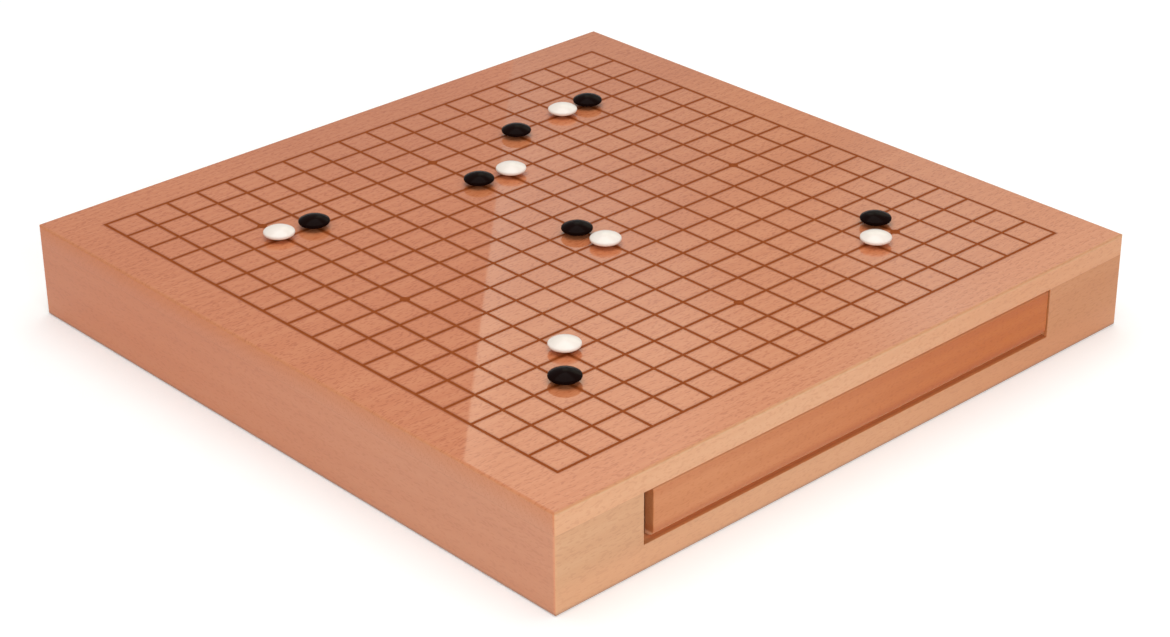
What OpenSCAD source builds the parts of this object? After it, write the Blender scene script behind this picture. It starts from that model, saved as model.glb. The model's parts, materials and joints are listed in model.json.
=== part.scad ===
// Go board: a playing top on a mitred frame, a drawer for each player, and stones lying on the lines.
// Millimetres. Origin at the middle of the underside, +Z up, the front drawer opens towards -Y.

/* [Playing top] */
// Lines each way
lines = 19; // [13:2:19]
// Distance from one line to the next
pitch = 21; // [19:0.5:24]
// Width of wood outside the outer lines
margin = 27; // [20:1:40]
// Thickness of the playing top
top_t = 12.5; // [10:0.5:20]
// Width of an engraved line
line_w = 1.8; // [1:0.1:2.4]
// Depth of an engraved line
line_depth = 0.4; // [0.2:0.1:0.8]
// Diameter of a star point
star_dia = 5.6; // [4:0.2:7]
// Lines from the edge of the grid to the outer star points
star_inset = 3; // [2:1:4]

/* [Frame] */
// Height of the whole board
board_h = 57; // [52:1:80]
// Thickness of the four rails
rail_t = 20; // [20:1:26]
// Width of wood beside the left end of a drawer opening
post_w = 58; // [50:1:80]
// Width of wood beside the right end of a drawer opening
end_post_w = 64; // [50:1:80]
// Height of wood under the drawer opening
sill_h = 15; // [13:0.5:20]
// Radius of the eased edges of the top and the frame
edge_round = 1.5; // [0.8:0.1:3]

/* [Base panel] */
// Thickness of the base panel
base_t = 5; // [4:0.5:7]
// Height of the base panel above what the board stands on
base_recess = 2; // [1:0.5:4]
// Width of the rebate that the base panel lies in
base_rebate = 9; // [6:0.5:12]
// Room between the base panel and the wall of its rebate
base_room = 0.4; // [0.2:0.1:0.8]

/* [Drawers] */
// Depth of the drawer front behind the face of the rail
front_setback = 0.5; // [0.2:0.1:3]
// Thickness of the drawer front
front_t = 16; // [12:0.5:18]
// Radius of the eased ends of the drawer front
front_round = 0.6; // [0.4:0.1:2]
// Radius of the eased upper edge of the drawer front
front_top_round = 1.5; // [0.5:0.1:3]
// Radius of the rounded lower edge of the drawer front
front_low_round = 4; // [1:0.5:6]
// Gap at the left end of the drawer front, to hook a finger in
finger_gap = 7; // [6:0.5:14]
// Thickness of the lip at the left end, which the finger pulls
pull_t = 6; // [5:0.5:8]
// Length of the hollow behind the lip
pull_length = 8; // [6:0.5:10]
// Free length of the drawer front past the sides of the drawer
front_lip = 12; // [8:0.5:16]
// Free depth behind the left end of the drawer front
finger_depth = 22; // [16:1:30]
// Gap at the right end of the drawer front
end_gap = 0.5; // [0.4:0.1:1.5]
// Gap over the drawer
top_gap = 1; // [0.6:0.1:2]
// Gap under the drawer front
under_gap = 1.2; // [0.8:0.1:2.6]
// Gap between a drawer and the strips it slides on
run_gap = 0.3; // [0.2:0.1:0.5]
// Thickness of the drawer sides
side_t = 8; // [6:0.5:10]
// Thickness of the drawer back
back_t = 8; // [6:0.5:10]
// How far the drawer back stays below the sides
back_drop = 2; // [1:0.5:4]
// Thickness of the drawer bottom
bottom_t = 4; // [3:0.5:5]
// Height of the drawer bottom above the lower edge of the sides
bottom_up = 4; // [3:0.5:5]
// Depth of the grooves that hold the drawer bottom
groove_depth = 4; // [3:0.5:4.5]
// Depth of the housings that hold the ends of the sides
housing_depth = 6; // [4:0.5:8]

/* [Runners] */
// Thickness of the guide strips beside a drawer
guide_t = 14; // [10:1:16]
// Height of the guide strips
guide_h = 20; // [14:1:24]
// Gap between a guide strip and the drawer
guide_gap = 0.4; // [0.3:0.1:1.2]
// How far the bearers reach past what lies on them
bearer_lap = 3; // [1:0.5:5]
// Thickness of the bar between the drawers
bar_t = 16; // [12:1:24]
// Gap between a closed drawer and the bar
stop_gap = 0.3; // [0.2:0.1:0.5]

/* [Stones] */
// Room between stones on neighbouring lines
stone_room = 3; // [1.5:0.5:5]
// Thickness of a stone
stone_t = 7; // [5:0.5:9]
// Radius of the rim of a stone
stone_rim = 1.2; // [0.8:0.1:1.6]
// Gap under a stone
stone_gap = 0.1; // [0.05:0.05:0.3]

/* [Hidden] */
$fn = 96;
over = 1;
grid = (lines - 1) * pitch;
board_w = grid + 2 * margin;
rail_h = board_h - top_t;
opening_x0 = post_w - board_w / 2;
opening_x1 = board_w / 2 - end_post_w;
inner_w = board_w - 2 * rail_t;
base_top = base_recess + base_t;

// The drawer front, from its left end at the finger gap to its right end
front_x0 = opening_x0 + finger_gap;
front_x1 = opening_x1 - end_gap;
front_y0 = -board_w / 2 + front_setback;
front_y1 = front_y0 + front_t;
front_z0 = sill_h + under_gap;
drawer_z0 = sill_h + run_gap;
drawer_z1 = rail_h - top_gap;
drawer_y1 = -bar_t / 2 - stop_gap;
pull_reach = min(pull_length, front_lip - 3);

// The box behind the front, outside and inside of its sides
box_x0 = front_x0 + front_lip;
box_x1 = front_x1 - front_lip;
well_x0 = box_x0 + side_t;
well_x1 = box_x1 - side_t;
bottom_z0 = drawer_z0 + bottom_up;
bottom_z1 = bottom_z0 + bottom_t;

// Strips inside the frame
guide_start = max(-board_w / 2 + rail_t, front_y1 + guide_gap);
finger_end = front_y1 + finger_depth;
bearer_in = min(-well_x0, well_x1) - bearer_lap;
bearer_out = max(-box_x0, box_x1) + guide_gap + guide_t + bearer_lap;

// A stone's section: two domes that run into a round rim
stone_dia = pitch - stone_room;
rim_x = stone_dia / 2 - stone_rim;
dome_r = (pow(rim_x, 2) + pow(stone_t / 2, 2) - pow(stone_rim, 2)) / (stone_t - 2 * stone_rim);
dome_drop = dome_r - stone_t / 2;
dome_x = dome_r * rim_x / (dome_r - stone_rim);

// Star points lie on the crossings of these lines
star = [star_inset, (lines - 1) / 2, lines - 1 - star_inset];

// Where the stones lie, in lines from the front left corner: each a move or so from a star point,
// and set down by hand, so some lie a little off their crossing
black_places = [
  [star[2], star[2]],
  [star[2] - 3, star[2] - 0.2],
  [star[1], star[2] - 2],
  [star[2], star[0] + 0.7],
  [star[0] + 1, star[2] - 1],
  [star[1] - 0.2, star[1] - 0.2],
  [star[0], star[0]]
];
white_places = [
  [star[2] - 1, star[2]],
  [star[1] + 1.1, star[2] - 2.1],
  [star[0] - 0.1, star[2] - 0.9],
  [star[2] - 0.9, star[0] - 0.1],
  [star[1] - 0.1, star[1] - 1.2],
  [star[0] + 1.1, star[0] + 1.2]
];

FRAME_NODES = ["top_board", "front_rail", "back_rail", "left_rail", "right_rail", "base_panel"];
RUNNER_NODES = [
  "left_bearer", "right_bearer", "centre_bar",
  "front_left_guide", "front_right_guide", "back_left_guide", "back_right_guide"
];
DRAWERS = ["front", "back"];
DRAWER_PIECES = ["face", "left_side", "right_side", "back", "bottom"];
DRAWER_NODES = [for (d = DRAWERS, p = DRAWER_PIECES) str(d, "_drawer_", p)];
BLACK_NODES = [for (i = [1 : len(black_places)]) str("black_stone_", i)];
WHITE_NODES = [for (i = [1 : len(white_places)]) str("white_stone_", i)];

// A block between two corners
module block(low, high) {
  translate(low) cube(high - low);
}

// A rectangle with its corners eased, centred
module eased_rectangle(width, depth) {
  square([width - 2 * edge_round, depth], center = true);
  square([width, depth - 2 * edge_round], center = true);
  for (sx = [-1, 1], sy = [-1, 1])
    translate([sx * (width / 2 - edge_round), sy * (depth / 2 - edge_round)]) circle(edge_round);
}

// Section of a plate with its two upper corners eased, centred on its lower side
module plate_section(width, thickness, left_radius, right_radius) {
  translate([-width / 2, 0]) square([width / 2, thickness - left_radius]);
  square([width / 2, thickness - right_radius]);
  translate([left_radius - width / 2, 0]) square([width - left_radius - right_radius, thickness]);
  translate([left_radius - width / 2, thickness - left_radius]) circle(left_radius);
  translate([width / 2 - right_radius, thickness - right_radius]) circle(right_radius);
}

// A plate with its four upper edges eased, by one radius at its two ends and one each along its two sides
module eased_plate(width, depth, thickness, end_radius, near_radius, far_radius) {
  intersection() {
    rotate([90, 0, 0])
      linear_extrude(depth, center = true) plate_section(width, thickness, end_radius, end_radius);
    rotate([90, 0, 90])
      linear_extrude(width, center = true) plate_section(depth, thickness, near_radius, far_radius);
  }
}

// The engraved lines and star points, as the wood that is cut away
module engraving() {
  for (i = [0 : lines - 1], turn = [0, 90])
    rotate(turn)
      translate([i * pitch - grid / 2 - line_w / 2, -(grid + line_w) / 2, 0])
        cube([line_w, grid + line_w, line_depth + over]);
  for (column = star, row = star)
    translate([column * pitch - grid / 2, row * pitch - grid / 2, 0])
      cylinder(d = star_dia, h = line_depth + over);
}

module top_board() {
  color([0.85, 0.57, 0.42])
    difference() {
      translate([0, 0, rail_h])
        intersection() {
          linear_extrude(top_t) eased_rectangle(board_w, board_w);
          eased_plate(board_w, board_w, top_t, edge_round, edge_round, edge_round);
        }
      translate([0, 0, board_h - line_depth]) engraving();
    }
}

// One rail of the frame, mitred at both ends and eased along its lower edge, lying along the front
module rail(with_opening) {
  half = board_w / 2;
  color([0.83, 0.60, 0.44])
    difference() {
      intersection() {
        linear_extrude(rail_h) eased_rectangle(board_w, board_w);
        translate([0, 0, rail_h])
          rotate([180, 0, 0]) eased_plate(board_w, board_w, rail_h, edge_round, edge_round, edge_round);
        linear_extrude(rail_h)
          polygon([[-half, -half], [half, -half], [half - rail_t, rail_t - half], [rail_t - half, rail_t - half]]);
      }
      block([-half, rail_t - half - base_rebate, -over], [half, rail_t - half + over, base_top]);
      if (with_opening)
        block([opening_x0, -half - over, sill_h], [opening_x1, rail_t - half + over, rail_h + over]);
    }
}

module front_rail() {
  rail(true);
}

module back_rail() {
  rotate(180) rail(true);
}

module left_rail() {
  rotate(-90) rail(false);
}

module right_rail() {
  rotate(90) rail(false);
}

module base_panel() {
  half = inner_w / 2 + base_rebate - base_room;
  color([0.80, 0.66, 0.48]) block([-half, -half, base_recess], [half, half, base_top]);
}

// The strip that the sides of both drawers slide on, at the right
module bearer() {
  color([0.86, 0.72, 0.53])
    block([bearer_in, -inner_w / 2, base_top], [bearer_out, inner_w / 2, sill_h]);
}

module right_bearer() {
  bearer();
}

module left_bearer() {
  rotate(180) bearer();
}

// The bar between the drawers, from the base panel to the playing top
module centre_bar() {
  color([0.86, 0.72, 0.53])
    block([-bearer_in, -bar_t / 2, base_top], [bearer_in, bar_t / 2, rail_h]);
}

// The guide at the finger end of the front drawer, which leaves room for the finger
module finger_end_guide() {
  color([0.86, 0.72, 0.53])
    block([box_x0 - guide_gap - guide_t, finger_end, sill_h],
          [box_x0 - guide_gap, -bar_t / 2, sill_h + guide_h]);
}

// The guide at the other end of the front drawer
module plain_end_guide() {
  color([0.86, 0.72, 0.53])
    block([box_x1 + guide_gap, guide_start, sill_h],
          [box_x1 + guide_gap + guide_t, -bar_t / 2, sill_h + guide_h]);
}

// The front of the front drawer, eased round its face, hollowed behind its left end for the finger,
// housed for the sides and grooved for the bottom
module drawer_face() {
  color([0.78, 0.48, 0.31])
    difference() {
      translate([(front_x0 + front_x1) / 2, front_y1, (front_z0 + drawer_z1) / 2])
        rotate([90, 0, 0])
          eased_plate(front_x1 - front_x0, drawer_z1 - front_z0, front_t,
                      front_round, front_low_round, front_top_round);
      block([front_x0 - over, front_y0 + pull_t, front_z0 - over],
            [front_x0 + pull_reach, front_y1 + over, drawer_z1 + over]);
      for (x = [box_x0, well_x1])
        block([x, front_y1 - housing_depth, front_z0 - over], [x + side_t, front_y1 + over, drawer_z1 + over]);
      block([box_x0, front_y1 - groove_depth, bottom_z0], [box_x1, front_y1 + over, bottom_z1]);
    }
}

// A side of the front drawer, with its groove for the bottom on the inside
module drawer_side(x0, groove_x0) {
  color([0.87, 0.73, 0.55])
    difference() {
      block([x0, front_y1 - housing_depth, drawer_z0], [x0 + side_t, drawer_y1, drawer_z1]);
      block([groove_x0, front_y1 - housing_depth - over, bottom_z0],
            [groove_x0 + groove_depth + over, drawer_y1 + over, bottom_z1]);
    }
}

module drawer_left_side() {
  drawer_side(box_x0, well_x0 - groove_depth);
}

module drawer_right_side() {
  drawer_side(well_x1, well_x1 - over);
}

// The back of the front drawer, standing on the bottom between the sides
module drawer_back() {
  color([0.87, 0.73, 0.55])
    block([well_x0, drawer_y1 - back_t, bottom_z1], [well_x1, drawer_y1, drawer_z1 - back_drop]);
}

module drawer_bottom() {
  color([0.82, 0.69, 0.51])
    block([well_x0 - groove_depth, front_y1 - groove_depth, bottom_z0],
          [well_x1 + groove_depth, drawer_y1, bottom_z1]);
}

module drawer_piece(piece) {
  if (piece == "face") drawer_face();
  if (piece == "left_side") drawer_left_side();
  if (piece == "right_side") drawer_right_side();
  if (piece == "back") drawer_back();
  if (piece == "bottom") drawer_bottom();
}

// Half section of a stone, to the right of its axis
module stone_section() {
  intersection() {
    translate([0, -dome_drop]) circle(dome_r);
    translate([0, dome_drop]) circle(dome_r);
    translate([0, -stone_t]) square([dome_x, 2 * stone_t]);
  }
  translate([rim_x, 0]) circle(stone_rim);
}

// A stone on the lines, at a place counted in lines from the front left corner
module stone(place) {
  translate([place[0] * pitch - grid / 2, place[1] * pitch - grid / 2, board_h + stone_gap + stone_t / 2])
    rotate_extrude() stone_section();
}

module black_stone(i) {
  color([0.05, 0.05, 0.05]) stone(black_places[i]);
}

module white_stone(i) {
  color([0.95, 0.92, 0.86]) stone(white_places[i]);
}

top_board();
front_rail();
back_rail();
left_rail();
right_rail();
base_panel();
left_bearer();
right_bearer();
centre_bar();
finger_end_guide();  // front_left_guide
plain_end_guide();  // front_right_guide
rotate(180) plain_end_guide();  // back_left_guide
rotate(180) finger_end_guide();  // back_right_guide
for (i = [0 : len(DRAWERS) - 1], piece = DRAWER_PIECES)
  rotate(180 * i) drawer_piece(piece);
for (i = [0 : len(black_places) - 1])
  black_stone(i);
for (i = [0 : len(white_places) - 1])
  white_stone(i);
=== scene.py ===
# %% [markdown]
# # A lacquered go board with two drawers
# The board is a beech plate with 19 engraved lines each way, glued on a mitred frame. A drawer for the
# stones slides out of the front and another out of the back, and thirteen stones lie on the lines.
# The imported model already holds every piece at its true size. This lesson gives each piece its finish,
# makes the stones and the colour in the lines as surfaces, and sets up a small photo studio around them.

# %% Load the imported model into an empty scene
import json
import math

import bpy
import numpy as np
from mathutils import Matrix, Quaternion, Vector

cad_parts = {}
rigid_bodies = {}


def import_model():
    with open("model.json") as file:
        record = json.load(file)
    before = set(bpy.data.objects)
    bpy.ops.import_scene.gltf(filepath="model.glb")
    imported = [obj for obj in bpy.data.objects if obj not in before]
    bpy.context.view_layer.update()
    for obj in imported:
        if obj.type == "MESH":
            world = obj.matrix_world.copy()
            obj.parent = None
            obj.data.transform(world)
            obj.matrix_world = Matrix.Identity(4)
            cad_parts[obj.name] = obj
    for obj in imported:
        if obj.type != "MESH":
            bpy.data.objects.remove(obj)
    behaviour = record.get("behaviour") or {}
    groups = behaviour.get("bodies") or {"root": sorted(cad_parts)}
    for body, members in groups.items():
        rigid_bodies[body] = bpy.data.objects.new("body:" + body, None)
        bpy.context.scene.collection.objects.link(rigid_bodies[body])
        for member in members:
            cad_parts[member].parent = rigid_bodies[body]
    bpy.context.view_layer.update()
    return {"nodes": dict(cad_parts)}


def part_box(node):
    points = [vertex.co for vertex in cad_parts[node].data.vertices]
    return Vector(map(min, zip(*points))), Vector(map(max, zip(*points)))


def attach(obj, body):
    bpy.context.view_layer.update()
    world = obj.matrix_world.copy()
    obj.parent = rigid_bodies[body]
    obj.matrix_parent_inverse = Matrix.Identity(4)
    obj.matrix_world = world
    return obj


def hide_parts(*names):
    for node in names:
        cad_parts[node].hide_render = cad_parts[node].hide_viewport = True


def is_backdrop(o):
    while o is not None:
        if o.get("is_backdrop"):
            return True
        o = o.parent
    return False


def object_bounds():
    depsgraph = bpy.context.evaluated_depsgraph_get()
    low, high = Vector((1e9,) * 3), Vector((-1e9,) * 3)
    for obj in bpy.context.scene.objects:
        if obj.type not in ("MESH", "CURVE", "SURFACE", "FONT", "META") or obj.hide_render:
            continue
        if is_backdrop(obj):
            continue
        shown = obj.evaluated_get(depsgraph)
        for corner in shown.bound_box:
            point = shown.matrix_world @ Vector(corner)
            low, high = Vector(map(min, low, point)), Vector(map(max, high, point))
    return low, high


for startup_object in list(bpy.data.objects):
    bpy.data.objects.remove(startup_object)
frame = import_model()
nodes = frame["nodes"]
top_low, top_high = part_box("top_board")
board_half = top_high.x
top_z = top_high.z
print("board", round(2000 * board_half), "mm square,", round(1000 * top_z), "mm high,", len(nodes), "nodes")

# %% [markdown]
# ## The camera
# A camera can be placed by eye, or worked out from the picture. The grid is a perfect square of known
# size, so its four corners in the photograph fix where the camera stood. It looked down at the front
# left corner from about a metre and a half, with a long lens, and was tilted by a third of a degree.

# %% Camera
CAMERA_PLACE = Vector((-0.924, -0.998, 0.707))
CAMERA_AIM = Vector((-0.0343, -0.0426, 0.0285))
CAMERA_TILT = math.radians(-0.37)
CAMERA_LENS = 82.4
SENSOR_WIDTH = 36.0

camera_data = bpy.data.cameras.new("photo_camera")
camera_data.lens = CAMERA_LENS
camera_data.sensor_width = SENSOR_WIDTH
camera_data.sensor_fit = "HORIZONTAL"
camera = bpy.data.objects.new("photo_camera", camera_data)
bpy.context.scene.collection.objects.link(camera)
camera.location = CAMERA_PLACE
camera.rotation_mode = "QUATERNION"
level_view = (CAMERA_AIM - CAMERA_PLACE).to_track_quat("-Z", "Y")
camera.rotation_quaternion = level_view @ Quaternion((0.0, 0.0, 1.0), CAMERA_TILT)
bpy.context.scene.camera = camera
print("camera", round((CAMERA_AIM - CAMERA_PLACE).length, 3), "m from the board")

# %% [markdown]
# ## Surfaces from arrays
# Every new piece here is a grid of points that numpy works out at once. Three helpers are enough. One
# carries a profile round an axis, as a lathe does, one sets copies of a small surface at many places,
# and one hands points and faces to Blender.

# %% Helpers for surfaces
def revolve(profile, steps):
    """Carry a profile round the Z axis.

    A profile point (r, z) turned by the angle a lies at (r cos a, r sin a, z). A point at either end
    with r = 0 is a pole: it becomes one vertex, closed by a fan of triangles. The outside is on the
    right of a profile that runs upwards.
    """
    angle = np.linspace(0.0, 2.0 * np.pi, steps, endpoint=False)
    low_pole = profile[0, 0] == 0.0
    high_pole = profile[-1, 0] == 0.0
    rings = profile[int(low_pole):len(profile) - int(high_pole)]
    x = np.outer(rings[:, 0], np.cos(angle))
    y = np.outer(rings[:, 0], np.sin(angle))
    z = np.repeat(rings[:, 1:], steps, axis=1)
    points = np.stack([x, y, z], axis=-1).reshape(-1, 3)
    here = np.arange(len(rings) * steps).reshape(len(rings), steps)
    there = np.roll(here, -1, axis=1)
    quads = np.stack([here[:-1], there[:-1], there[1:], here[1:]], axis=-1)
    faces = [quads.reshape(-1, 4)]
    if low_pole:
        pole = np.full(steps, len(points))
        points = np.vstack([points, [0.0, 0.0, profile[0, 1]]])
        faces.append(np.stack([pole, there[0], here[0]], axis=-1))
    if high_pole:
        pole = np.full(steps, len(points))
        points = np.vstack([points, [0.0, 0.0, profile[-1, 1]]])
        faces.append(np.stack([here[-1], there[-1], pole], axis=-1))
    return points, faces


def scattered(points, faces, places):
    """Copies of a surface: each point plus each place, and each face counted on by a copy's points."""
    step = len(points) * np.arange(len(places))[:, None, None]
    all_points = (places[:, None] + points).reshape(-1, 3)
    return all_points, [(step + kind).reshape(-1, kind.shape[1]) for kind in faces]


def surface(name, points, faces):
    """Make a smooth mesh object from points and faces, with its place in its mesh."""
    mesh = bpy.data.meshes.new(name)
    mesh.from_pydata(points.tolist(), [], [face for kind in faces for face in kind.tolist()])
    mesh.shade_smooth()
    made = bpy.data.objects.new(name, mesh)
    bpy.context.scene.collection.objects.link(made)
    return made


print("a cone of 48 steps has", len(revolve(np.array([[1.0, 0.0], [0.0, 1.0]]), 48)[0]), "points")

# %% [markdown]
# ## Node helpers
# A procedural material is a graph of small steps. These helpers add one step at a time, so that each
# finish below reads like its recipe. Colours are written as a screen shows them, from 0 to 255, and
# turned into the linear light that shaders work in.

# %% Helpers for materials
def linear(screen_colour):
    """Linear light of a colour written as a screen shows it, by the standard screen curve."""
    share = np.array(screen_colour) / 255.0
    dark = share / 12.92
    bright = ((share + 0.055) / 1.055) ** 2.4
    return (*np.where(share <= 0.04045, dark, bright).tolist(), 1.0)


def add(tree, kind, inputs, **options):
    """Add a node, set its options and fill its inputs, each with a value or another node's output."""
    made = tree.nodes.new(kind)
    for name, value in options.items():
        setattr(made, name, value)
    for name, value in inputs.items():
        if isinstance(value, bpy.types.NodeSocket):
            tree.links.new(value, made.inputs[name])
        else:
            made.inputs[name].default_value = value
    return made


def calc(tree, operation, first, second=0.0, third=0.0):
    """One step of arithmetic on numbers or sockets."""
    return add(tree, "ShaderNodeMath", {0: first, 1: second, 2: third}, operation=operation).outputs[0]


def between(tree, value, low, high):
    """A soft step from 0 where value is at low to 1 where it is at high."""
    inputs = {"Value": value, "From Min": low, "From Max": high}
    return add(tree, "ShaderNodeMapRange", inputs, interpolation_type="SMOOTHSTEP").outputs["Result"]


def ranged(tree, value, low, high, start=0.0, stop=1.0):
    """A straight run from low where value is at start to high where it is at stop."""
    inputs = {"Value": value, "From Min": start, "From Max": stop, "To Min": low, "To Max": high}
    return add(tree, "ShaderNodeMapRange", inputs).outputs["Result"]


def mixed(tree, share, first, second):
    """The first colour where share is 0, the second where it is 1, by the node's colour sockets."""
    return add(tree, "ShaderNodeMix", {0: share, 6: first, 7: second}, data_type="RGBA").outputs[2]


def noise(tree, where, scale, detail):
    """Soft random numbers around a half, in patches of about a metre divided by scale."""
    inputs = {"Vector": where, "Scale": scale, "Detail": detail}
    return add(tree, "ShaderNodeTexNoise", inputs).outputs["Fac"]


def coordinates(tree):
    """The object's own coordinates in metres, as one vector and as x, y and z."""
    where = add(tree, "ShaderNodeTexCoord", {}).outputs["Object"]
    parts = add(tree, "ShaderNodeSeparateXYZ", {"Vector": where})
    return where, parts.outputs["X"], parts.outputs["Y"], parts.outputs["Z"]


def new_material(name):
    """A new material with a Principled shader: the material, its tree and its shader node."""
    made = bpy.data.materials.new(name)
    made.use_nodes = True
    return made, made.node_tree, made.node_tree.nodes["Principled BSDF"]


print("a screen's grey of 128 is", round(linear((128, 128, 128))[0], 3), "of white light")

# %% [markdown]
# ## The studio
# The board stood on white paper under broad, soft light. A wide shallow bowl makes the floor and, seen
# from low down, the paper sweep behind the board. The paper is white by its colour, and a little glow
# that only the camera and mirror-like surfaces see lifts it to the white of the picture, while the
# shadow under the board stays.

# %% Floor
FLOOR_RADIUS = 4.5
SWEEP_RADIUS = 1.3
FLOOR_RINGS = np.array([[1.5, 0.0], [0.5, 0.0], [0.0, 0.0]])
FLOOR_STEPS = 96
SWEEP_STEPS = 16
PAPER_TONES = ((242, 242, 240), (246, 246, 245))
PULP_SCALE = 40.0
PAPER_ROUGHNESS = 0.9
PAPER_GLOW = 0.22

bend = np.linspace(0.0, np.pi / 2, SWEEP_STEPS)
sweep_r = FLOOR_RADIUS + SWEEP_RADIUS * np.cos(bend)
sweep_z = SWEEP_RADIUS * (1.0 - np.sin(bend))
floor_profile = np.vstack([np.stack([sweep_r, sweep_z], axis=-1), FLOOR_RINGS])
floor = surface("paper_floor", *revolve(floor_profile, FLOOR_STEPS))
paper, tree, shader = new_material("white_paper")
seen = add(tree, "ShaderNodeLightPath", {})
direct = calc(tree, "MAXIMUM", seen.outputs["Is Camera Ray"], seen.outputs["Is Glossy Ray"])
seen_at_all = calc(tree, "MAXIMUM", direct, seen.outputs["Is Transmission Ray"])
where, x, y, z = coordinates(tree)
paper_tone = mixed(tree, noise(tree, where, PULP_SCALE, detail=3.0), *map(linear, PAPER_TONES))
tree.links.new(paper_tone, shader.inputs["Base Color"])
shader.inputs["Roughness"].default_value = PAPER_ROUGHNESS
shader.inputs["Specular IOR Level"].default_value = 0.0
shader.inputs["Emission Color"].default_value = (1.0, 1.0, 1.0, 1.0)
tree.links.new(calc(tree, "MULTIPLY", seen_at_all, PAPER_GLOW), shader.inputs["Emission Strength"])
floor.data.materials.append(paper)
floor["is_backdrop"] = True
print("floor", len(floor.data.polygons), "faces")

# %% [markdown]
# ## The light
# Three things light the board: an even white room, a large soft box overhead, and a smaller one beside
# the camera that favours the near corner, so both visible sides are a little brighter there. The small
# one is left out of mirror images, or it would bleach the top when the board is seen from the back. A
# lamp's power follows from how bright its face should look, because a flat lamp of area A and
# brightness L gives off pi A L.

# %% Lamps
ROOM_BRIGHTNESS = 0.45
OVERHEAD_PLACE = Vector((0.0, 0.1, 2.4))
OVERHEAD_AIM = Vector((0.0, 0.0, 0.0))
OVERHEAD_SIDE = 2.4
OVERHEAD_BRIGHTNESS = 1.66
FILL_PLACE = Vector((-0.75, -1.35, 0.6))
FILL_AIM = Vector((-0.05, -0.15, 0.03))
FILL_SIDE = 0.9
FILL_BRIGHTNESS = 3.53


def soft_box(name, place, aim, side, brightness):
    """A square lamp at place, facing aim, with the brightness of its face."""
    lamp = bpy.data.lights.new(name, "AREA")
    lamp.shape = "SQUARE"
    lamp.size = side
    lamp.energy = math.pi * side * side * brightness
    made = bpy.data.objects.new(name, lamp)
    bpy.context.scene.collection.objects.link(made)
    made.location = place
    made.rotation_mode = "QUATERNION"
    made.rotation_quaternion = (aim - place).to_track_quat("-Z", "Y")
    made.visible_camera = False
    print(name, round(lamp.energy), "W")
    return made


soft_box("overhead_box", OVERHEAD_PLACE, OVERHEAD_AIM, OVERHEAD_SIDE, OVERHEAD_BRIGHTNESS)
fill_box = soft_box("fill_box", FILL_PLACE, FILL_AIM, FILL_SIDE, FILL_BRIGHTNESS)
fill_box.visible_glossy = False
room = bpy.data.worlds.new("white_room")
room.use_nodes = True
room.node_tree.nodes["Background"].inputs["Color"].default_value = (1.0, 1.0, 1.0, 1.0)
room.node_tree.nodes["Background"].inputs["Strength"].default_value = ROOM_BRIGHTNESS
bpy.context.scene.world = room
bpy.context.scene.view_settings.view_transform = "Standard"

# %% [markdown]
# ## The white panel
# The lacquer is glossy, and in the photograph the right part of the top mirrors something white with
# an upright edge: a pale veil with a sharp left border. A tone painted on the wood would stay put when
# the view turns. A real panel behind the board gives the veil by reflection, so it moves as it should.
# The panel is a flat sheet across the line of sight, and its left edge leans a little.

# %% Panel shape
PANEL_DISTANCE = 1.2
PANEL_TURN = math.radians(43.0)
PANEL_FOOT = 0.35
PANEL_HEAD = 1.30
PANEL_LEFT_AT_FOOT = -0.057
PANEL_LEFT_AT_HEAD = -0.184
PANEL_RIGHT = 0.95
PANEL_ROWS = 13
PANEL_COLUMNS = 17

height_share = np.linspace(0.0, 1.0, PANEL_ROWS)[:, None]
side_share = np.linspace(0.0, 1.0, PANEL_COLUMNS)[None, :]
left_edge = PANEL_LEFT_AT_FOOT + (PANEL_LEFT_AT_HEAD - PANEL_LEFT_AT_FOOT) * height_share
across = left_edge + (PANEL_RIGHT - left_edge) * side_share
upward = np.repeat(PANEL_FOOT + (PANEL_HEAD - PANEL_FOOT) * height_share, PANEL_COLUMNS, axis=1)
panel_points = np.stack([
    PANEL_DISTANCE * math.sin(PANEL_TURN) + across * math.cos(PANEL_TURN),
    PANEL_DISTANCE * math.cos(PANEL_TURN) - across * math.sin(PANEL_TURN),
    upward,
], axis=-1)
point = np.arange(across.size).reshape(across.shape)
panel_cells = np.stack([point[:-1, :-1], point[:-1, 1:], point[1:, 1:], point[1:, :-1]], axis=-1)
panel = surface("white_panel", panel_points.reshape(-1, 3), [panel_cells.reshape(-1, 4)])
print("panel", len(panel.data.polygons), "faces")

# %% [markdown]
# ## The light of the panel
# A sheet that leans against a wall is never lit evenly. This one is bright above, most of all along its
# sides and its left rim, and fades and cools towards its foot, which is why the veil is weaker and
# greyer at the far side. It also has a cooler band right of its middle. Soft steps over the height and
# the place across give all of that. All heights and places are in metres.

# %% Panel light
PANEL_BRIGHTNESS = 0.75
FADE_HEIGHTS = (0.36, 0.85)
FOOT_LIGHT = 0.05
MIDDLE_LIGHT = 0.52
LEFT_PART_LIGHT = 0.8
LEFT_PART_ENDS = (0.0, 0.15)
LEFT_PART_HEIGHTS = (0.52, 0.75)
LEFT_PART_SOFTNESS = 0.07
RIGHT_PART_LIGHT = 0.75
RIGHT_PART_STARTS = (0.21, 0.29)
RIGHT_PART_HEIGHTS = (0.66, 0.78)
RIGHT_PART_SOFTNESS = 0.14
RIM_LIGHT = 0.44
RIM_WIDTH = 0.045
FOOT_WHITE = (0.62, 0.90, 0.93, 1.0)
HEAD_WHITE = (0.95, 0.97, 0.81, 1.0)
WARM_HEIGHTS = (0.50, 0.84)
WARM_PLACES = (0.06, 0.20)
COOL_WHITE = (0.82, 1.0, 0.90, 1.0)
COOL_FROM = (0.22, 0.36)
COOL_UNTIL = (0.50, 0.38)

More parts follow.
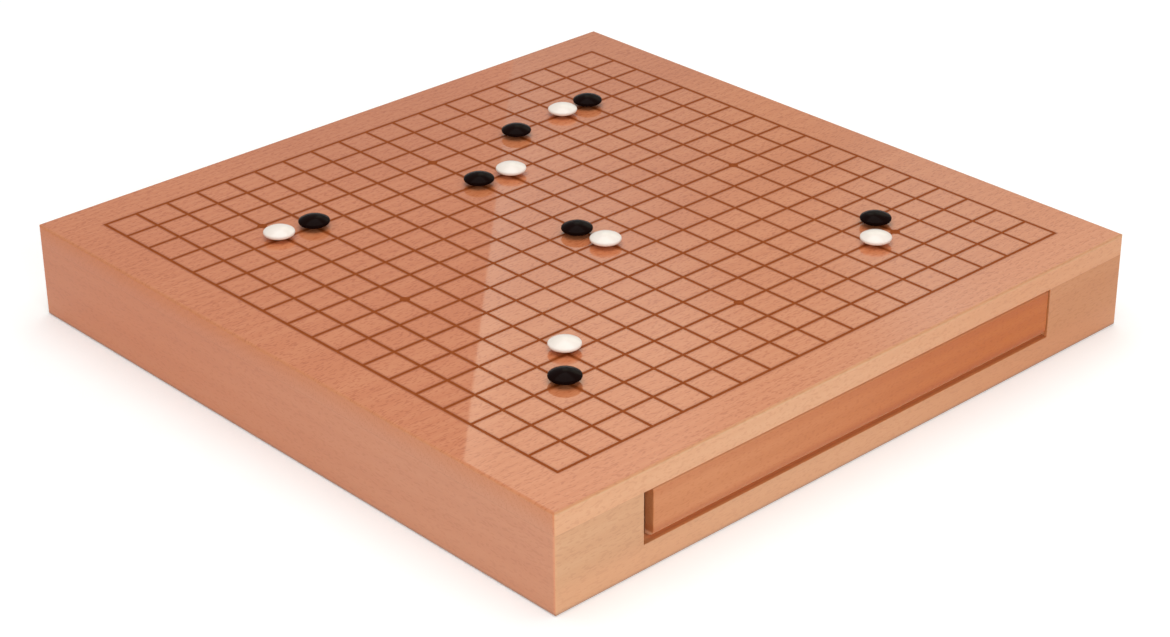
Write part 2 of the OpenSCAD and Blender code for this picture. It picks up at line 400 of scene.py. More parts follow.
panel_glow, tree, shader = new_material("lit_panel")
where, x, y, z = coordinates(tree)
towards_y = calc(tree, "MULTIPLY", y, -math.sin(PANEL_TURN))
sideways = calc(tree, "MULTIPLY_ADD", x, math.cos(PANEL_TURN), towards_y)
fade = calc(tree, "MULTIPLY_ADD", between(tree, z, *FADE_HEIGHTS), 1.0 - FOOT_LIGHT, FOOT_LIGHT)
left_end = ranged(tree, z, *LEFT_PART_ENDS, *LEFT_PART_HEIGHTS)
past_left_end = calc(tree, "SUBTRACT", sideways, left_end)
left_part = between(tree, past_left_end, LEFT_PART_SOFTNESS, -LEFT_PART_SOFTNESS)
right_start = ranged(tree, z, *RIGHT_PART_STARTS, *RIGHT_PART_HEIGHTS)
right_part = between(tree, calc(tree, "SUBTRACT", sideways, right_start), 0.0, RIGHT_PART_SOFTNESS)
rim_place = ranged(tree, z, PANEL_LEFT_AT_FOOT, PANEL_LEFT_AT_HEAD, PANEL_FOOT, PANEL_HEAD)
rim = between(tree, calc(tree, "SUBTRACT", sideways, rim_place), RIM_WIDTH, 0.0)
light = MIDDLE_LIGHT
for part, part_light in ((left_part, LEFT_PART_LIGHT), (right_part, RIGHT_PART_LIGHT), (rim, RIM_LIGHT)):
    light = calc(tree, "MULTIPLY_ADD", part, part_light, light)
light = calc(tree, "MULTIPLY", light, fade)
strength = calc(tree, "MULTIPLY_ADD", light, PANEL_BRIGHTNESS, ROOM_BRIGHTNESS)
warmth = calc(tree, "MAXIMUM", between(tree, z, *WARM_HEIGHTS), between(tree, sideways, *WARM_PLACES))
cool_from = between(tree, sideways, *COOL_FROM)
cool_band = calc(tree, "MULTIPLY", cool_from, between(tree, sideways, *COOL_UNTIL))
white = mixed(tree, cool_band, mixed(tree, warmth, FOOT_WHITE, HEAD_WHITE), COOL_WHITE)
tree.links.new(white, shader.inputs["Emission Color"])
tree.links.new(strength, shader.inputs["Emission Strength"])
shader.inputs["Base Color"].default_value = (0.0, 0.0, 0.0, 1.0)
shader.inputs["Specular IOR Level"].default_value = 0.0
panel.data.materials.append(panel_glow)
panel.visible_camera = False
panel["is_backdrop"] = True
print("panel light", len(tree.nodes), "nodes")

# %% [markdown]
# ## Beech
# Steamed beech is pinkish brown, with soft growth rings, fine fibres and thousands of short darker
# flecks along the grain. A photograph of wood could be wrapped round the pieces, but its grain would
# stop at every edge. Here one function makes a single number from 0, the deepest tone, to 1, the
# palest. It reads the object's own coordinates in metres, so every size below is a real size, and the
# grain runs through a piece as it does in solid wood.

# %% Wood pattern
RING_WIDTH = 0.0042
RING_WAVER = 7.0
FIBRE_SIZE = 0.0007
FLECK_SIZE = 0.0009
FLECK_LIMITS = (0.58, 0.68)
FLECK_COVER = 0.15
CLOUD_SIZE = 0.09
STRETCH = {"X": (0.06, 1.0, 1.0), "Y": (1.0, 0.06, 1.0)}
FLECK_STRETCH = {"X": (0.3, 1.0, 1.0), "Y": (1.0, 0.3, 1.0)}
CLOUD_STRETCH = {"X": (0.45, 1.0, 1.0), "Y": (1.0, 0.45, 1.0)}


def along_grain(tree, stretch, cut):
    """Object coordinates, drawn out along the grain and shifted to where in the tree it was cut."""
    where = add(tree, "ShaderNodeTexCoord", {}).outputs["Object"]
    return add(tree, "ShaderNodeMapping", {"Vector": where, "Scale": stretch, "Location": cut}).outputs[0]


def beech(tree, grain, cut, ring=0.12, cloud=0.55, fibre=0.30, fleck=0.22):
    """The wood's tone from 0 to 1, and its fibres and flecks for the relief.

    The tone is a half, plus each pattern's distance from its own middle times its weight, less the
    flecks: rings round a pith below the piece, slow clouds, fine fibres.
    """
    drawn_out = along_grain(tree, STRETCH[grain], cut)
    rings = add(tree, "ShaderNodeTexWave", {
        "Vector": drawn_out, "Scale": math.pi / (10.0 * RING_WIDTH), "Distortion": RING_WAVER,
        "Detail": 2.0, "Detail Scale": 0.35}, wave_type="RINGS", rings_direction=grain).outputs["Fac"]
    clouds = noise(tree, along_grain(tree, CLOUD_STRETCH[grain], cut), 1.0 / CLOUD_SIZE, detail=2.0)
    fibres = noise(tree, drawn_out, 1.0 / FIBRE_SIZE, detail=2.0)
    dashes = noise(tree, along_grain(tree, FLECK_STRETCH[grain], cut), 1.0 / FLECK_SIZE, detail=0.0)
    flecks = between(tree, dashes, *FLECK_LIMITS)
    tone = 0.5 - 0.5 * (ring + cloud + fibre) + FLECK_COVER * fleck
    for pattern, weight in ((rings, ring), (clouds, cloud), (fibres, fibre), (flecks, -fleck)):
        tone = calc(tree, "MULTIPLY_ADD", pattern, weight, tone)
    return tone, fibres, flecks


fibre_length = FIBRE_SIZE / STRETCH["X"][0]
print("fibres", round(1000 * FIBRE_SIZE, 1), "mm wide and", round(1000 * fibre_length, 1), "mm long")

# %% [markdown]
# ## Colours and relief of the wood
# A colour ramp turns the wood's number into tones, from deep to pale, so one pattern serves pieces of
# every colour. Two sets of tones, mixed along a piece, paint it lit at one end and shaded at the other:
# painted light falloff. Planing also leaves the fibres a trace proud and the flecks a trace low, and the
# fibres scatter light unevenly, which a small bump and a changing roughness give.

# %% Wood colours and relief
WOOD_ROUGHNESS = (0.42, 0.58)
FLECK_DEPTH = 0.5
RELIEF_HEIGHT = 0.0002


def tones(tree, tone, deep, middle, pale):
    """Colours for the wood's tone: deep at 0, middle at a half, pale at 1."""
    ramp = add(tree, "ShaderNodeValToRGB", {"Fac": tone})
    stops = ramp.color_ramp.elements
    stops[0].color = linear(deep)
    stops[1].color = linear(pale)
    stops.new(0.5).color = linear(middle)
    return ramp.outputs["Color"]


def two_ends(tree, share, tone, first_tones, second_tones):
    """The wood in the first tones where share is 0, and in the second tones where it is 1."""
    return mixed(tree, share, tones(tree, tone, *first_tones), tones(tree, tone, *second_tones))


def calmer(tree, tone, figure):
    """The wood's tone with a weaker figure: its distance from a half, times figure."""
    return calc(tree, "MULTIPLY_ADD", tone, figure, 0.5 - 0.5 * figure)


def relief(tree, shader, fibres, flecks, strength):
    """Raise the fibres and sink the flecks a little under the finish."""
    height = calc(tree, "MULTIPLY_ADD", flecks, -FLECK_DEPTH, fibres)
    bump = add(tree, "ShaderNodeBump", {"Height": height, "Strength": strength, "Distance": RELIEF_HEIGHT})
    tree.links.new(bump.outputs["Normal"], shader.inputs["Normal"])
    tree.links.new(ranged(tree, fibres, *WOOD_ROUGHNESS), shader.inputs["Roughness"])


print("relief", 1000 * RELIEF_HEIGHT, "mm at most")

# %% [markdown]
# ## Lacquer
# The outside of the board has a hard clear lacquer: a thin mirror over the wood. The Principled
# shader's coat is just that, a second smooth layer with its own reflection, so the wood below can keep
# its rough fibres. The bare wood inside the board has no coat.

# %% Lacquer
LACQUER_ROUGHNESS = 0.03
LACQUER_IOR = 1.5
COATED_WOOD_GLOSS = 0.15


def lacquer(shader, thickness):
    """A clear glossy coat, with the wood's own gloss turned down below it."""
    shader.inputs["Specular IOR Level"].default_value = COATED_WOOD_GLOSS
    shader.inputs["Coat Weight"].default_value = thickness
    shader.inputs["Coat Roughness"].default_value = LACQUER_ROUGHNESS
    shader.inputs["Coat IOR"].default_value = LACQUER_IOR


def finish(node, material):
    """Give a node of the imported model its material."""
    slots = nodes[node].data.materials
    slots.clear()
    slots.append(material)


mirrored = ((LACQUER_IOR - 1.0) / (LACQUER_IOR + 1.0)) ** 2
print("lacquer mirrors", round(100 * mirrored), "% of the light that falls straight on it")

# %% [markdown]
# ## Seam and sill
# Where the plate is glued on the frame, a thin dark seam shows. The sill that a drawer slides over has
# painted shade, deep brown, along its outer edge, and painted light further in, under the drawer front.
# Both are lines at a known height, so a soft step around that height finds them on any piece that they pass.

# %% Seam and sill
SEAM_TONE = (96, 52, 30)
SEAM_HALF_WIDTH = 0.00022
SEAM_DEPTH = 0.15
# Painted shade along the sill's outer edge, and painted light further in, under the drawer front.
SILL_EDGE_SHADE_TONE = (192, 118, 70)
SILL_INNER_LIGHT_TONE = (243, 158, 103)
SILL_SHARE = 0.9
SILL_LEVEL = (0.0002, 0.0001)
SILL_START = (0.0001, 0.0004)
SILL_INNER = (0.0018, 0.0045)

sill_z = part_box("left_bearer")[1].z


def seamed(tree, colour, z):
    """The colour, darkened in a thin line at the height where the top is glued on the frame."""
    to_seam = calc(tree, "ABSOLUTE", calc(tree, "SUBTRACT", z, top_low.z))
    seam = between(tree, to_seam, SEAM_HALF_WIDTH, 0.0)
    return mixed(tree, calc(tree, "MULTIPLY", seam, SEAM_DEPTH), colour, linear(SEAM_TONE))


def painted_sill_shade_and_light(tree, colour, y, z):
    """The colour on the level of the sill: painted shade along its outer edge, painted light further in."""
    on_sill = between(tree, calc(tree, "ABSOLUTE", calc(tree, "SUBTRACT", z, sill_z)), *SILL_LEVEL)
    inward = calc(tree, "SUBTRACT", board_half, calc(tree, "ABSOLUTE", y))
    share = calc(tree, "MULTIPLY", on_sill, between(tree, inward, *SILL_START))
    inner = between(tree, inward, *SILL_INNER)
    sill = mixed(tree, inner, linear(SILL_EDGE_SHADE_TONE), linear(SILL_INNER_LIGHT_TONE))
    return mixed(tree, calc(tree, "MULTIPLY", share, SILL_SHARE), colour, sill)


print("seam at", round(1000 * top_low.z, 1), "mm and sill at", round(1000 * sill_z, 1), "mm above the table")

# %% [markdown]
# ## Painted light and shade on the frame
# The sides are painted lighter towards the lower edge: painted light from the floor. A painted highlight
# runs in patches along the upright corners, and the lower edge itself has painted shade. Each mark is a
# share from 0 to 1, found from the place on the board, and mixes a painted tone over the wood.

# %% Painted light and shade
PAINTED_LIGHT_TONE = (248, 178, 135)
LOW_PAINTED_LIGHT = {"X": 0.22, "Y": 0.06}
LOW_LIGHT_HEIGHTS = (0.022, 0.008)
CORNER_HIGHLIGHT = 0.2
CORNER_START = 0.0022
CORNER_FULL = 0.0004
PATCH_SCALE = 70.0
PATCH_LIMITS = (0.3, 0.75)
FOOT_SHADE_TONE = (128, 92, 74)
FOOT_SHADE_HEIGHT = 0.003
FOOT_SHADE_SHARE = 0.6


def painted_light_and_shade(tree, colour, grain, where, x, y, z):
    """The colour with painted light low down, a painted highlight on the corners, painted shade at the foot.

    A place is on an upright corner where the smaller of |x| and |y| comes close to half the board.
    """
    # Painted light low down and a painted highlight on the upright corners, mixed in one pale tone.
    low_light = calc(tree, "MULTIPLY", between(tree, z, *LOW_LIGHT_HEIGHTS), LOW_PAINTED_LIGHT[grain])
    smaller = calc(tree, "MINIMUM", calc(tree, "ABSOLUTE", x), calc(tree, "ABSOLUTE", y))
    on_corner = between(tree, smaller, board_half - CORNER_START, board_half - CORNER_FULL)
    patches = between(tree, noise(tree, where, PATCH_SCALE, detail=3.0), *PATCH_LIMITS)
    corner_highlight = calc(tree, "MULTIPLY", on_corner, patches)
    share = calc(tree, "MAXIMUM", low_light, calc(tree, "MULTIPLY", corner_highlight, CORNER_HIGHLIGHT))
    paler = mixed(tree, share, colour, linear(PAINTED_LIGHT_TONE))
    # Painted shade along the foot.
    foot_shade = calc(tree, "MULTIPLY", between(tree, z, FOOT_SHADE_HEIGHT, 0.0), FOOT_SHADE_SHARE)
    return mixed(tree, foot_shade, paler, linear(FOOT_SHADE_TONE))


print("soiled for", round(1000 * FOOT_SHADE_HEIGHT, 1), "mm above the table")

# %% [markdown]
# ## The frame
# The long faces of the frame are of two kinds: the drawer sides are paler and yellower, the plain sides
# pinker and deeper. Part of that is wood of another tone, and part is a painted white sheen on the
# drawer sides. The grain follows each rail, and each rail is painted lit at its left or front end and
# shaded towards the other: painted light falloff. One function builds both finishes, and the drawer
# fronts use it too.

# %% Frame rails
SIDE_COAT = 0.6
WOOD_RELIEF = 0.25
FIGURE = {"X": 1.0, "Y": 0.75}
DRAWER_SIDE_CUT = (0.0, 0.06, 0.02)
DRAWER_SIDE_RUN = (-0.10, 0.20)
# Lit and shaded tones at the two ends of each rail: painted light falloff. The drawer sides' paler, yellower
# tones include a painted white sheen.
DRAWER_SIDE_LIT = ((194, 139, 99), (209, 156, 114), (220, 175, 135))
DRAWER_SIDE_SHADED = ((186, 113, 66), (202, 131, 80), (213, 148, 98))
PLAIN_SIDE_CUT = (0.05, 0.0, 0.03)
PLAIN_SIDE_RUN = (-0.21, 0.15)
PLAIN_SIDE_LIT = ((197, 124, 88), (213, 142, 104), (222, 158, 121))
PLAIN_SIDE_SHADED = ((196, 109, 66), (213, 126, 80), (223, 143, 97))


def rail_beech(name, grain, cut, run, lit_tones, shaded_tones, coat=SIDE_COAT, edge_painting=None):
    """Lacquered beech painted from lit to shaded tones along its grain, between the places of run.

    A piece with painted light and shade of its own brings a function for that as its last argument.
    """
    made, tree, shader = new_material(name)
    tone, fibres, flecks = beech(tree, grain, cut)
    tone = calmer(tree, tone, FIGURE[grain])
    where, x, y, z = coordinates(tree)
    # Painted light falloff: lit tones at one end of the run, shaded tones at the other.
    falloff = between(tree, x if grain == "X" else y, *run)
    wood = two_ends(tree, falloff, tone, lit_tones, shaded_tones)
    wood = painted_light_and_shade(tree, wood, grain, where, x, y, z)
    if grain == "X":
        wood = painted_sill_shade_and_light(tree, wood, y, z)
    # Painted light and shade of the piece's own, where it has any.
    if edge_painting is not None:
        wood = edge_painting(tree, wood, z)
    tree.links.new(seamed(tree, wood, z), shader.inputs["Base Color"])
    relief(tree, shader, fibres, flecks, WOOD_RELIEF)
    lacquer(shader, coat)
    return made


drawer_side_beech = rail_beech(
    "drawer_side_beech", "X", DRAWER_SIDE_CUT, DRAWER_SIDE_RUN, DRAWER_SIDE_LIT, DRAWER_SIDE_SHADED)
plain_side_beech = rail_beech(
    "plain_side_beech", "Y", PLAIN_SIDE_CUT, PLAIN_SIDE_RUN, PLAIN_SIDE_LIT, PLAIN_SIDE_SHADED)
for rail in ("front_rail", "back_rail"):
    finish(rail, drawer_side_beech)
for rail in ("left_rail", "right_rail"):
    finish(rail, plain_side_beech)
print("four rails finished")

# %% [markdown]
# ## The wood of the plate
# The top is one plate, so its edges carry on the tones of the sides that they belong to, with the same
# painted light falloff. Its far middle is a little deeper, where it was cut nearer the heart of the tree.
# Its rounded upper edge has a painted highlight. Three functions take these one by one.

# %% Wood of the plate
TOP_EDGE_RUN = (-0.10, 0.19)
# Lit and shaded tones along the plate's edges: painted light falloff.
TOP_EDGE_LIT = ((206, 145, 105), (221, 164, 122), (232, 182, 143))
TOP_EDGE_SHADED = ((206, 136, 91), (221, 154, 108), (232, 173, 129))
PLATE_SIDE_LIT = ((197, 116, 73), (213, 135, 90), (222, 150, 107))
PLATE_SIDE_SHADED = ((196, 102, 48), (213, 119, 59), (223, 136, 78))
HEART_TONE = (150, 62, 28)
HEART_SHARE = 0.15
HEART_PLACE = (0.01, 0.20)
HEART_REACH = (0.13, 0.11)
EDGE_ROUND = 0.0015
EDGE_ROUND_START = 0.95 * EDGE_ROUND
EDGE_ROUND_FULL = 1.25 * EDGE_ROUND
# Painted highlight on the rounded upper edge.
EDGE_HIGHLIGHT_TONE = (200, 178, 136)
EDGE_HIGHLIGHT = 0.3
SIDE_EDGE_HIGHLIGHT = 0.1


def plate_sides(tree, tone, x, y, z, faces_sideways):
    """The plate's narrow sides: the rail's tones at its lower edge, running into deeper ones above."""
    along_side = between(tree, y, *PLAIN_SIDE_RUN)
    as_rail = two_ends(tree, along_side, tone, PLAIN_SIDE_LIT, PLAIN_SIDE_SHADED)
    as_plate = two_ends(tree, along_side, tone, PLATE_SIDE_LIT, PLATE_SIDE_SHADED)
    plain_side = mixed(tree, between(tree, z, top_low.z, top_z), as_rail, as_plate)
    drawer_side = two_ends(tree, between(tree, x, *TOP_EDGE_RUN), tone, TOP_EDGE_LIT, TOP_EDGE_SHADED)
    return mixed(tree, faces_sideways, drawer_side, plain_side)


def heartwood(tree, colour, x, y):
    """The colour, deeper in a soft ellipse: both ways to its middle, over its reach, squared and added."""
    heart_x = calc(tree, "DIVIDE", calc(tree, "SUBTRACT", x, HEART_PLACE[0]), HEART_REACH[0])
    heart_y = calc(tree, "DIVIDE", calc(tree, "SUBTRACT", y, HEART_PLACE[1]), HEART_REACH[1])
    to_heart = calc(tree, "MULTIPLY_ADD", heart_x, heart_x, calc(tree, "MULTIPLY", heart_y, heart_y))
    share = calc(tree, "MULTIPLY", between(tree, to_heart, 1.0, 0.0), HEART_SHARE)
    return mixed(tree, share, colour, linear(HEART_TONE))


def edge_with_painted_highlight(tree, colour, from_middle, z, faces_sideways):
    """The colour with a painted highlight on the rounding, found by adding how far out and how far up it
    lies.
    """
    outward = calc(tree, "SUBTRACT", from_middle, board_half - EDGE_ROUND)
    upward = calc(tree, "SUBTRACT", z, top_z - EDGE_ROUND)
    on_round = between(tree, calc(tree, "ADD", outward, upward), EDGE_ROUND_START, EDGE_ROUND_FULL)
    paler = calc(tree, "MULTIPLY_ADD", faces_sideways, SIDE_EDGE_HIGHLIGHT - EDGE_HIGHLIGHT, EDGE_HIGHLIGHT)
    return mixed(tree, calc(tree, "MULTIPLY", on_round, paler), colour, linear(EDGE_HIGHLIGHT_TONE))


print("plate", round(1000 * (top_z - top_low.z), 1), "mm thick, rounded by", 1000 * EDGE_ROUND, "mm")

# %% [markdown]
# ## Stain beside the lines
# Close to the lines the dark colour has seeped into the wood, softly and unevenly. Distances to the
# lines come from a zigzag of the position, which is zero on every line and largest halfway between two.
# Beyond the ends of the lines a whole metre is added, so that no colour seeps there.

# %% Stain beside the lines
LINES = 19
LINE_PITCH = 0.021
LINE_WIDTH = 0.0018
STAIN_TONE = (165, 83, 35)
SEEP_SHARE = 0.8
SEEP_WIDTH = 0.0021
SEEP_LEAST = LINE_WIDTH / 2 + 0.25 * SEEP_WIDTH
SEEP_SCALE = 1500.0

grid_reach = (LINES - 1) / 2 * LINE_PITCH + LINE_WIDTH / 2


def seeped(tree, colour, where, x, y, from_middle, on_top):
    """The colour, stained from the edge of a line outwards, as far as the noise lets it reach."""
    beyond_x = calc(tree, "GREATER_THAN", calc(tree, "ABSOLUTE", x), grid_reach)
    beyond_y = calc(tree, "GREATER_THAN", calc(tree, "ABSOLUTE", y), grid_reach)
    to_column = calc(tree, "ADD", calc(tree, "PINGPONG", x, LINE_PITCH / 2), beyond_y)
    to_row = calc(tree, "ADD", calc(tree, "PINGPONG", y, LINE_PITCH / 2), beyond_x)
    to_line = calc(tree, "MINIMUM", to_column, to_row)
    in_grid = calc(tree, "LESS_THAN", from_middle, grid_reach + SEEP_WIDTH)
    unevenness = noise(tree, where, SEEP_SCALE, detail=1.0)
    reach = calc(tree, "MULTIPLY_ADD", unevenness, SEEP_WIDTH, SEEP_LEAST)
    share = between(tree, to_line, reach, LINE_WIDTH / 2)
    for limit in (in_grid, on_top, SEEP_SHARE):
        share = calc(tree, "MULTIPLY", share, limit)
    return mixed(tree, share, colour, linear(STAIN_TONE))


print("grid of", LINES, "lines,", round(2000 * grid_reach, 1), "mm across")

# %% [markdown]
# ## The playing top
# Now the plate's material is put together: sides and top, then the rounded edge, the stain and the
# seam. The top was rubbed smooth between two coats, so it has the full mirror of the lacquer, and its
# flecks and fibres are stronger, because the board was sawn so that the flecks lie open there.

# %% Playing top
TOP_CUT = (0.02, 0.03, 0.09)
TOP_FIGURE = {"ring": 0.16, "fibre": 0.5, "fleck": 0.45}
TOP_TONES = ((193, 107, 64), (209, 124, 79), (220, 143, 97))
TOP_SKIN = (0.0012, 0.0003)
EDGE_FIGURE = 0.5
TOP_COAT = 1.0

playing_top, tree, shader = new_material("lacquered_playing_top")
tone, fibres, flecks = beech(tree, "X", TOP_CUT, **TOP_FIGURE)
where, x, y, z = coordinates(tree)
from_middle = calc(tree, "MAXIMUM", calc(tree, "ABSOLUTE", x), calc(tree, "ABSOLUTE", y))
faces_sideways = calc(tree, "GREATER_THAN", calc(tree, "ABSOLUTE", x), calc(tree, "ABSOLUTE", y))
on_top = between(tree, z, top_z - TOP_SKIN[0], top_z - TOP_SKIN[1])
sides = plate_sides(tree, calmer(tree, tone, EDGE_FIGURE), x, y, z, faces_sideways)
top = heartwood(tree, tones(tree, tone, *TOP_TONES), x, y)
wood = mixed(tree, on_top, sides, top)
wood = edge_with_painted_highlight(tree, wood, from_middle, z, faces_sideways)
wood = seeped(tree, wood, where, x, y, from_middle, on_top)
tree.links.new(seamed(tree, wood, z), shader.inputs["Base Color"])
relief(tree, shader, fibres, flecks, WOOD_RELIEF)
lacquer(shader, TOP_COAT)
tree.links.new(ranged(tree, on_top, SIDE_COAT, TOP_COAT), shader.inputs["Coat Weight"])
finish("top_board", playing_top)
print("playing top", len(tree.nodes), "nodes")

# %% [markdown]
# ## The colour in the lines
# The cut lines were filled with a matt brown stain that stands just below the surface, so the lines do
# not mirror anything, although the wood around them does. The fill could be 38 strips, but strips
# cross each other. Instead one grid has its lines of points on both edges of every cut, and only the
# cells that lie in a cut become faces. The nine star points are small discs.

# %% Line fill
FILL_BELOW = 0.00008
STAR_BELOW = 0.9 * FILL_BELOW
STAR_RADIUS = 0.0028
STAR_LINES = np.array([3, 9, 15])
STAR_STEPS = 48

line_places = (np.arange(LINES) - (LINES - 1) / 2) * LINE_PITCH
cuts = (line_places[:, None] + np.array([-0.5, 0.5]) * LINE_WIDTH).reshape(-1)
grid_x, grid_y = np.meshgrid(cuts, cuts, indexing="ij")
grid_z = np.full(grid_x.shape, top_z - FILL_BELOW)
fill_points = np.stack([grid_x, grid_y, grid_z], axis=-1).reshape(-1, 3)
inside_cut = np.arange(len(cuts) - 1) % 2 == 0
in_some_cut = inside_cut[:, None] | inside_cut[None, :]
corner = np.arange(grid_x.size).reshape(grid_x.shape)
cells = np.stack([corner[:-1, :-1], corner[1:, :-1], corner[1:, 1:], corner[:-1, 1:]], axis=-1)
line_fill = surface("line_fill", fill_points, [cells[in_some_cut]])
star_x, star_y = np.meshgrid(line_places[STAR_LINES], line_places[STAR_LINES])
star_z = np.full(star_x.shape, top_z - STAR_BELOW)
star_places = np.stack([star_x, star_y, star_z], axis=-1).reshape(-1, 3)
disc = revolve(np.array([[STAR_RADIUS, 0.0], [STAR_RADIUS / 2, 0.0], [0.0, 0.0]]), STAR_STEPS)
star_fill = surface("star_fill", *scattered(*disc, star_places))
print(len(line_fill.data.polygons), "cells of line and", len(star_places), "star points")

# %% [markdown]
# ## The stain itself
# The fill dried in the cuts without being polished, so it is rough, has hardly any gloss and is a
# little patchy. One noise serves for both: where it is high, the stain is paler and rougher.

# %% Line stain
FILL_TONES = ((136, 62, 21), (161, 83, 38))
FILL_SCALE = 420.0
FILL_ROUGHNESS = (0.65, 0.85)
FILL_GLOSS = 0.05

stain, tree, shader = new_material("matt_line_stain")
where, x, y, z = coordinates(tree)
patchy = noise(tree, where, FILL_SCALE, detail=3.0)
tree.links.new(mixed(tree, patchy, *map(linear, FILL_TONES)), shader.inputs["Base Color"])
tree.links.new(ranged(tree, patchy, *FILL_ROUGHNESS), shader.inputs["Roughness"])
shader.inputs["Specular IOR Level"].default_value = FILL_GLOSS
for piece in (line_fill, star_fill):
    piece.data.materials.append(stain)
    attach(piece, "board")
print("lines and star points stained")

# %% [markdown]
# ## The drawer fronts
# A drawer front is a board of its own, deeper in colour than the frame, and painted darker towards one
# end: painted light falloff. Its long edges carry painted light on their roundings, and painted shade
# just inside them, where the plate above and the sill below shade the front. The marks are soft steps
# over the distance from the lower and the upper edge, from where they start to where they are full.

# %% Drawer fronts
FRONT_CUT = (0.0, 0.04, 0.05)
# Lit and shaded ends of a drawer front: painted light falloff.
FRONT_LIT_END = ((190, 115, 69), (204, 131, 84), (215, 148, 103))
FRONT_SHADED_END = ((177, 86, 20), (192, 98, 26), (204, 114, 41))
FRONT_COAT = 0.42
# Painted shade just inside the long edges, and painted light on their roundings.
EDGE_SHADE_TONE = (165, 68, 22)
LOWER_EDGE_SHADE = 0.32
LOWER_EDGE_SHADE_FROM = (0.0075, 0.0035)
UPPER_EDGE_SHADE = 0.14
UPPER_EDGE_SHADE_FROM = (0.0070, 0.0020)
ROUNDING_LIGHT_TONE = (252, 196, 152)
LOWER_ROUNDING_LIGHT = 0.85
LOWER_ROUNDING_LIGHT_FROM = (0.0028, 0.0012)
UPPER_ROUNDING_LIGHT = 0.22
UPPER_ROUNDING_LIGHT_FROM = (0.0016, 0.0005)

front_low, front_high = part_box("front_drawer_face")


def painted_edge_light_and_shade(tree, colour, z):
    """The colour with painted shade just inside the lower and upper edge, and painted light on both
    roundings.
    """
    above = calc(tree, "SUBTRACT", z, front_low.z)
    below = calc(tree, "SUBTRACT", front_high.z, z)
    deep_low = calc(tree, "MULTIPLY", between(tree, above, *LOWER_EDGE_SHADE_FROM), LOWER_EDGE_SHADE)
    deep_high = calc(tree, "MULTIPLY", between(tree, below, *UPPER_EDGE_SHADE_FROM), UPPER_EDGE_SHADE)
    pale_low = calc(tree, "MULTIPLY", between(tree, above, *LOWER_ROUNDING_LIGHT_FROM), LOWER_ROUNDING_LIGHT)
    pale_high = calc(tree, "MULTIPLY", between(tree, below, *UPPER_ROUNDING_LIGHT_FROM), UPPER_ROUNDING_LIGHT)
    deeper = mixed(tree, calc(tree, "MAXIMUM", deep_low, deep_high), colour, linear(EDGE_SHADE_TONE))
    return mixed(tree, calc(tree, "MAXIMUM", pale_low, pale_high), deeper, linear(ROUNDING_LIGHT_TONE))


drawer_front = rail_beech(
    "lacquered_drawer_front", "X", FRONT_CUT, (front_low.x, front_high.x), FRONT_LIT_END, FRONT_SHADED_END,
    coat=FRONT_COAT, edge_painting=painted_edge_light_and_shade)
for side in ("front", "back"):
    finish(f"{side}_drawer_face", drawer_front)
print("two drawer fronts", round(1000 * (front_high.x - front_low.x), 1), "mm long")

# %% [markdown]
# ## Bare wood inside
# What nobody sees with the drawers shut was left bare: pale beech for the drawer boxes and the strips
# that they run on, thin plywood for the drawer bottoms and the base. The same wood pattern serves, with
# paler tones, no coat and a stronger relief, because sanding alone leaves the fibres rougher. The grain
# of each piece runs along its length.

# %% Bare wood inside
BARE_TONES = ((199, 161, 114), (215, 180, 134), (227, 198, 155))
PLY_TONES = ((188, 147, 101), (208, 171, 122), (221, 190, 145))
ALONG_CUT = (0.03, 0.0, 0.05)
ACROSS_CUT = (0.0, 0.07, 0.01)
PLY_CUT = (0.0, 0.02, 0.12)
BARE_RELIEF = 0.5
BARE_GLOSS = 0.3


def bare_wood(name, grain, cut, wood_tones):
    """Sanded wood with no coat."""
    made, tree, shader = new_material(name)
    tone, fibres, flecks = beech(tree, grain, cut)
    tree.links.new(tones(tree, tone, *wood_tones), shader.inputs["Base Color"])
    relief(tree, shader, fibres, flecks, BARE_RELIEF)
    shader.inputs["Specular IOR Level"].default_value = BARE_GLOSS
    return made


box_wood_along = bare_wood("bare_beech_along", "Y", ALONG_CUT, BARE_TONES)
box_wood_across = bare_wood("bare_beech_across", "X", ACROSS_CUT, BARE_TONES)
thin_plywood = bare_wood("plywood", "X", PLY_CUT, PLY_TONES)
for side in ("front", "back"):
    for strip in ("drawer_left_side", "drawer_right_side", "left_guide", "right_guide"):
        finish(f"{side}_{strip}", box_wood_along)
    finish(f"{side}_drawer_back", box_wood_across)
    finish(f"{side}_drawer_bottom", thin_plywood)
for strip in ("left_bearer", "right_bearer"):
    finish(strip, box_wood_along)
finish("centre_bar", box_wood_across)
finish("base_panel", thin_plywood)
print("bare wood inside finished")

# %% [markdown]
# ## The shape of a stone
# A stone is a lens: two shallow domes that run into a round rim. A squashed ball would do from afar, but
# its rim would be too thick. Here the profile is three arcs that share their tangents, and a lathe
# turns it into a stone.

# %% Stone profile
STONE_RIM = 0.0012
RIM_STEPS = 15
DOME_STEPS = 25


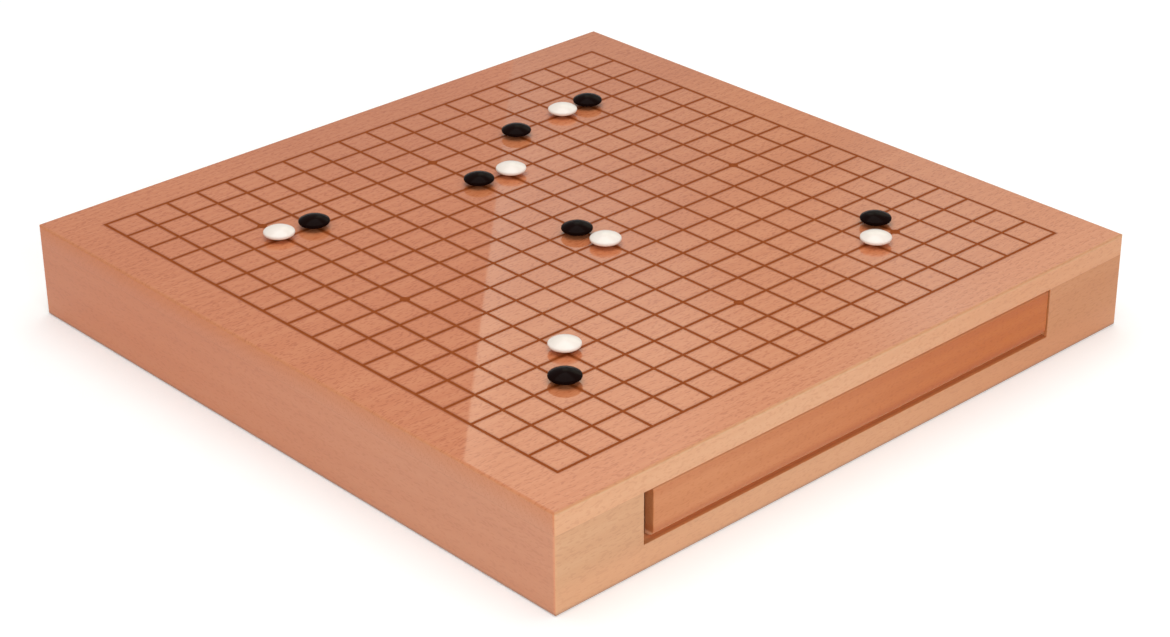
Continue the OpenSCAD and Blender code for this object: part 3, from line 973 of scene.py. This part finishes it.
def stone_profile(diameter, thickness, rim):
    """Half section of a stone, from its lower pole to its upper pole.

    The rim is a circle whose middle lies in the middle plane. Each dome is a circle round a point on
    the axis, with the radius at which it touches the rim's circle from outside and gives the stone its
    thickness. The two circles meet on the line through their middles, at the angle meet.
    """
    rim_middle = diameter / 2 - rim
    dome = (rim_middle ** 2 + (thickness / 2) ** 2 - rim ** 2) / (thickness - 2 * rim)
    drop = dome - thickness / 2
    meet = math.atan2(drop, rim_middle)
    rim_angle = np.linspace(-meet, meet, RIM_STEPS)
    dome_angle = np.linspace(meet, np.pi / 2, DOME_STEPS)[1:]
    rim_arc = np.stack([rim_middle + rim * np.cos(rim_angle), rim * np.sin(rim_angle)], axis=-1)
    upper = np.stack([dome * np.cos(dome_angle), dome * np.sin(dome_angle) - drop], axis=-1)
    upper[-1, 0] = 0.0
    lower = upper[::-1] * [1.0, -1.0]
    return np.vstack([lower, rim_arc, upper])


print("stone rim", 1000 * STONE_RIM, "mm round")

# %% [markdown]
# ## The finish of the stones
# The black stones are a warm, deep black that mirrors very little, and the white ones are creamy, like
# milky glass. Fine specks in the black and slow clouds in the white keep both from looking like plain
# paint. One function makes both, since only the tones, the sizes and the gloss differ.

# %% Stone finishes
BLACK_TONES = ((17, 7, 5), (24, 10, 8))
BLACK_SPECK_SCALE = 2500.0
BLACK_ROUGHNESS = (0.12, 0.22)
BLACK_GLOSS = 0.025
WHITE_TONES = ((247, 234, 221), (251, 241, 232))
WHITE_CLOUD_SCALE = 160.0
WHITE_ROUGHNESS = (0.14, 0.24)
WHITE_GLOSS = 0.5


def stone_finish(name, stone_tones, scale, detail, roughness, gloss):
    """A stone whose tone and polish follow one noise."""
    made, tree, shader = new_material(name)
    where, x, y, z = coordinates(tree)
    pattern = noise(tree, where, scale, detail)
    tree.links.new(mixed(tree, pattern, *map(linear, stone_tones)), shader.inputs["Base Color"])
    tree.links.new(ranged(tree, pattern, *roughness), shader.inputs["Roughness"])
    shader.inputs["Specular IOR Level"].default_value = gloss
    return made


stone_finishes = {
    "black": stone_finish(
        "polished_black_stone", BLACK_TONES, BLACK_SPECK_SCALE, 2.0, BLACK_ROUGHNESS, BLACK_GLOSS),
    "white": stone_finish(
        "polished_white_stone", WHITE_TONES, WHITE_CLOUD_SCALE, 3.0, WHITE_ROUGHNESS, WHITE_GLOSS),
}
print("stone finishes", ", ".join(stone_finishes))

# %% [markdown]
# ## Stones on the lines
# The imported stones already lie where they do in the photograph, but their flat facets would show in the
# polish. Each gets a smooth twin of the same diameter and thickness in the same place, which takes over
# its look and rides on its body when it is lifted.

# %% Stones on the lines
STONE_STEPS = 72

stone_names = sorted(name for name in nodes if "_stone_" in name)
for name in stone_names:
    low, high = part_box(name)
    points, faces = revolve(stone_profile(high.x - low.x, high.z - low.z, STONE_RIM), STONE_STEPS)
    stone = surface(f"smooth_{name}", points + np.array((low + high) / 2), faces)
    colour = name.split("_")[0]
    stone.data.materials.append(stone_finishes[colour])
    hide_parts(name)
    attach(stone, name)
print(len(stone_names), "stones of", len(points), "points")

# %% [markdown]
# ## Sizes
# The size of the box round the dressed board is printed.

# %% Sizes
low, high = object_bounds()
print("visual box", [round(1000 * side, 1) for side in high - low], "mm")
